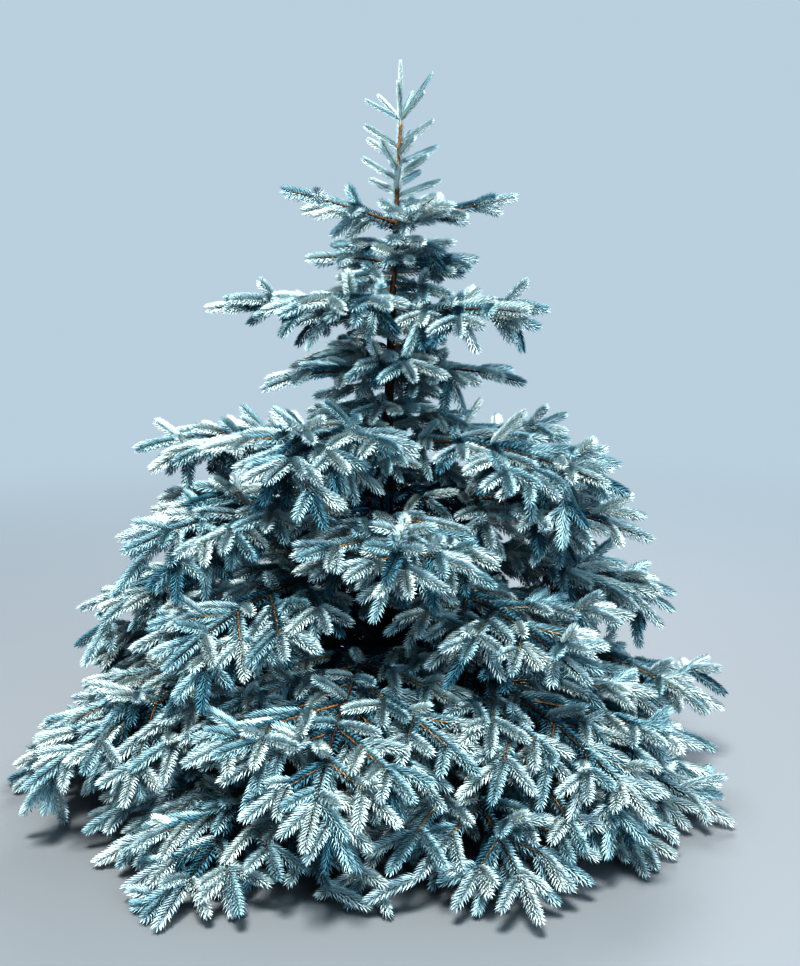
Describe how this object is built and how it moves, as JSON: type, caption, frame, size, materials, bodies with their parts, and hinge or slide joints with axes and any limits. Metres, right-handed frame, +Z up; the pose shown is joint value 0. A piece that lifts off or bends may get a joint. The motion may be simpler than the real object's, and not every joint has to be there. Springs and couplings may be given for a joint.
{
  "type": "blue spruce tree",
  "caption": "Young blue spruce rooted in the ground: a straight tapering trunk, tiered boughs of silvery blue needles that sweep the ground, and a bare-stemmed leader with a whorl of shoots.",
  "frame": {"origin": "middle of the flat cut under the trunk, at ground level", "axes": "+Z up the trunk, -Y towards the front that the picture shows, +X to the right seen from the front"},
  "size_m": [2.2079, 2.142, 2.18],
  "materials": {
    "bark": "rough scaly grey-brown bark",
    "twig_bark": "matt orange-brown twig bark",
    "needles": "waxy silvery blue needles"
  },
  "bodies": {
    "root": {"high_1_needles": "needles", "high_2_needles": "needles", "high_3_needles": "needles", "high_4_needles": "needles", "high_5_needles": "needles", "high_6_needles": "needles", "leader_needles": "needles", "low_1_needles": "needles", "low_2_needles": "needles", "low_3_needles": "needles", "low_4_needles": "needles", "low_5_needles": "needles", "low_6_needles": "needles", "low_7_needles": "needles", "middle_1_needles": "needles", "middle_2_needles": "needles", "middle_3_needles": "needles", "middle_4_needles": "needles", "middle_5_needles": "needles", "middle_6_needles": "needles", "neck_1_needles": "needles", "neck_2_needles": "needles", "neck_3_needles": "needles", "neck_4_needles": "needles", "shoulder_1_needles": "needles", "shoulder_2_needles": "needles", "shoulder_3_needles": "needles", "shoulder_4_needles": "needles", "shoulder_5_needles": "needles", "skirt_1_bough": "twig_bark", "skirt_1_needles": "needles", "skirt_2_bough": "twig_bark", "skirt_2_needles": "needles", "skirt_3_bough": "twig_bark", "skirt_3_needles": "needles", "skirt_4_bough": "twig_bark", "skirt_4_needles": "needles", "skirt_5_bough": "twig_bark", "skirt_5_needles": "needles", "skirt_6_bough": "twig_bark", "skirt_6_needles": "needles", "skirt_7_bough": "twig_bark", "skirt_7_needles": "needles", "tip_needles": "needles", "top_1_needles": "needles", "top_2_needles": "needles", "top_3_needles": "needles", "top_4_needles": "needles", "top_5_needles": "needles", "trunk": "bark", "upper_1_needles": "needles", "upper_2_needles": "needles", "upper_3_needles": "needles", "upper_4_needles": "needles", "upper_5_needles": "needles", "waist_1_needles": "needles", "waist_2_needles": "needles", "waist_3_needles": "needles", "waist_4_needles": "needles", "waist_5_needles": "needles"}
  },
  "joints": []
}
